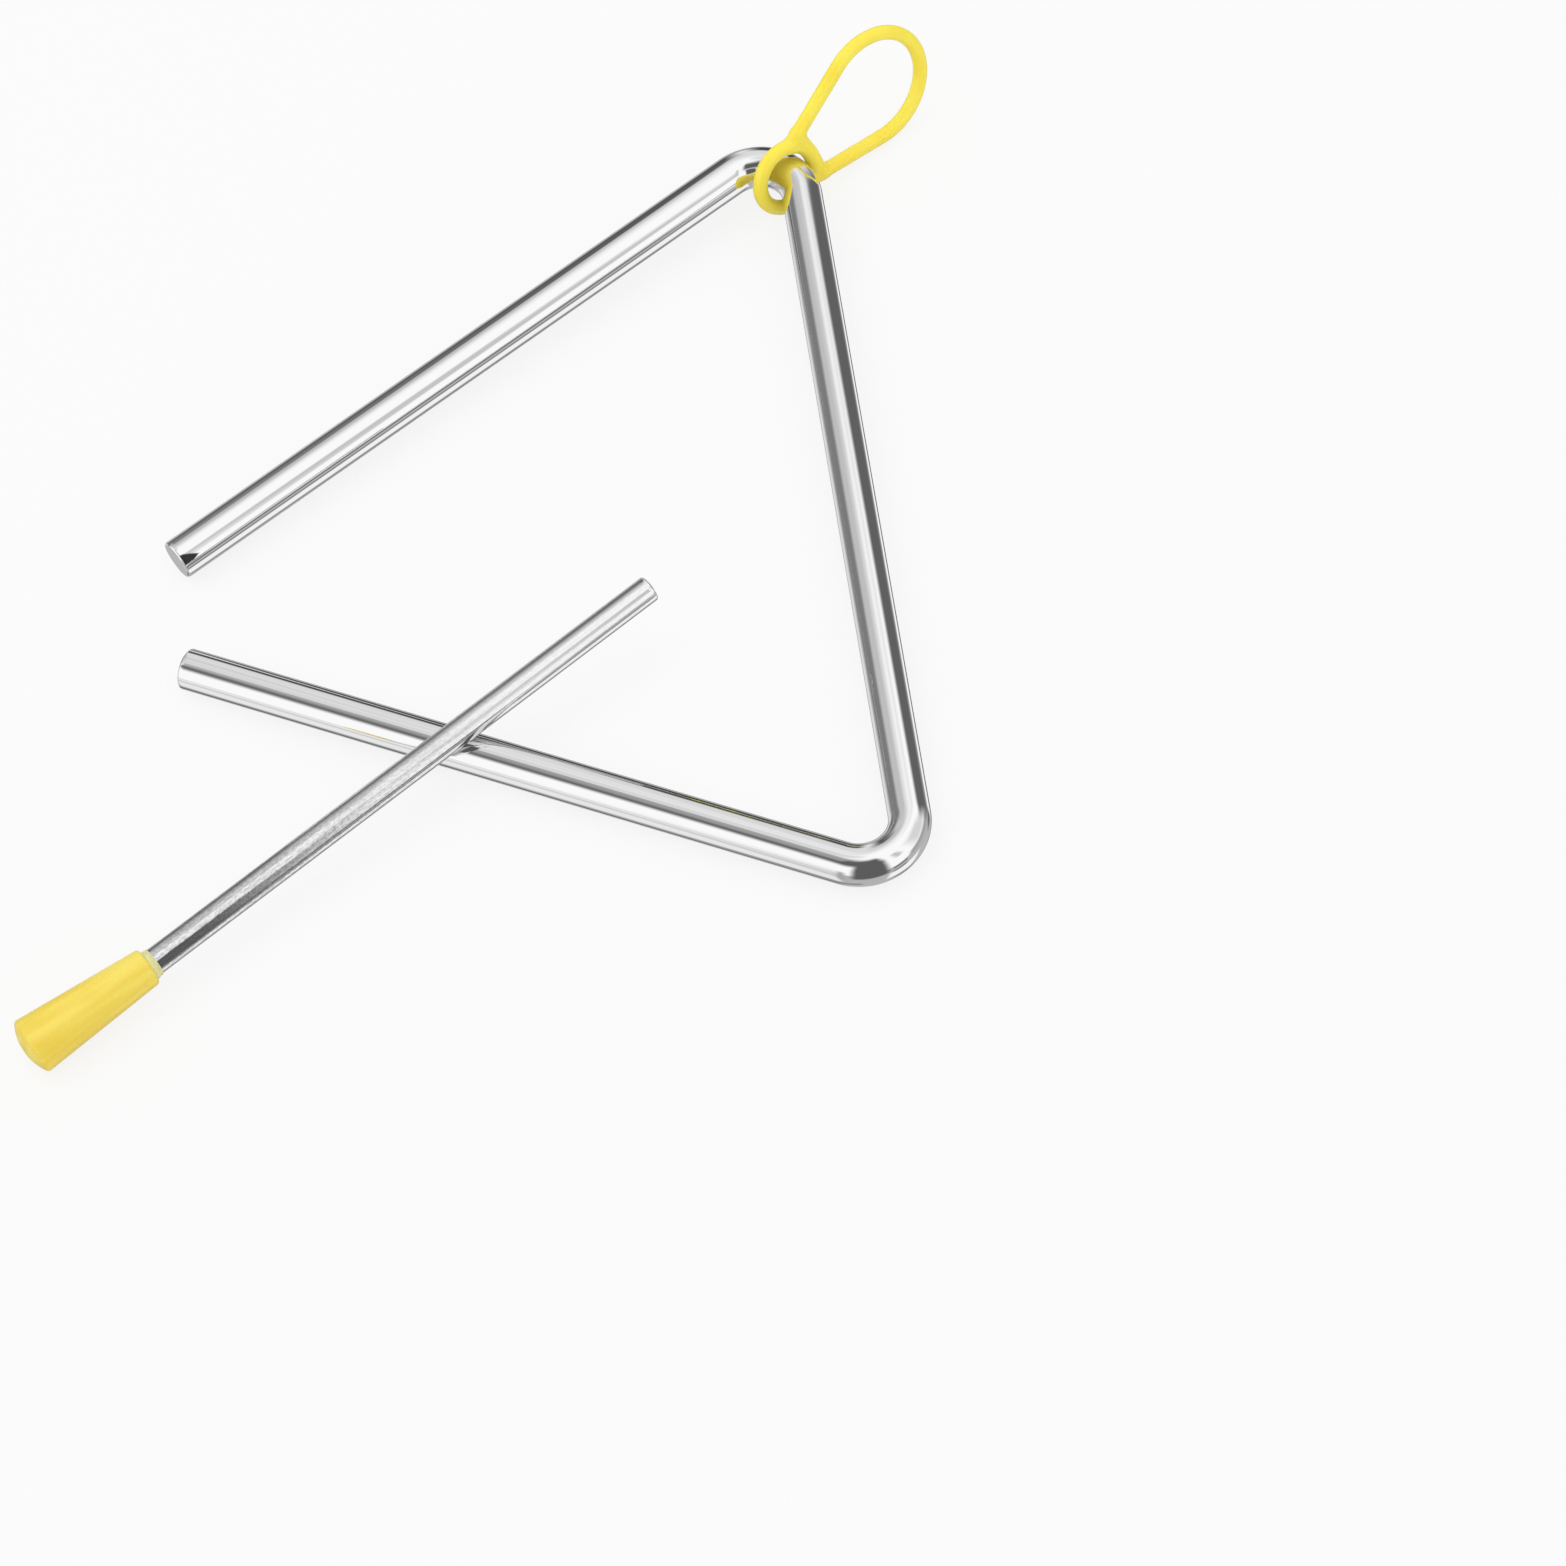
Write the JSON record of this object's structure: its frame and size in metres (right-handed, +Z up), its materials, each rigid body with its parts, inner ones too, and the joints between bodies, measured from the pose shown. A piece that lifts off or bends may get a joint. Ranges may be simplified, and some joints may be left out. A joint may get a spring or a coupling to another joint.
{
  "type": "triangle instrument",
  "caption": "Bent steel bar triangle with an open corner, a moulded ring and finger loop to hang it from, and a straight beater with a tapered grip, laid down together.",
  "frame": {"origin": "middle of the whole set in plan, on the table that it lies on", "axes": "+Z up from the table, +Y along the closed side towards the corner with the holder, +X from the open corner towards the closed side"},
  "size_m": [0.1968, 0.1956, 0.0259],
  "materials": {
    "chromed_bar": "polished chrome plate",
    "holder_plastic": "glossy, slightly translucent yellow moulding",
    "beater_steel": "satin plated steel rod",
    "grip_plastic": "glossy yellow moulding with a thin pale lip"
  },
  "bodies": {
    "triangle": {"triangle_bar": "chromed_bar"},
    "holder": {"holder": "holder_plastic"},
    "beater": {"beater_rod": "beater_steel", "beater_grip": "grip_plastic"}
  },
  "joints": [
    {"name": "holder_swing", "type": "hinge", "parent": "triangle", "child": "holder", "pos_m": [0.06701, 0.07516, 0.00792], "axis": [0.5296, -0.8155, 0.2334], "range_deg": [0, 155.9]},
    {"name": "beater_lift", "type": "slide", "parent": "triangle", "child": "beater", "axis": [0, 0, 1], "range_m": [0, 0.12]}
  ]
}
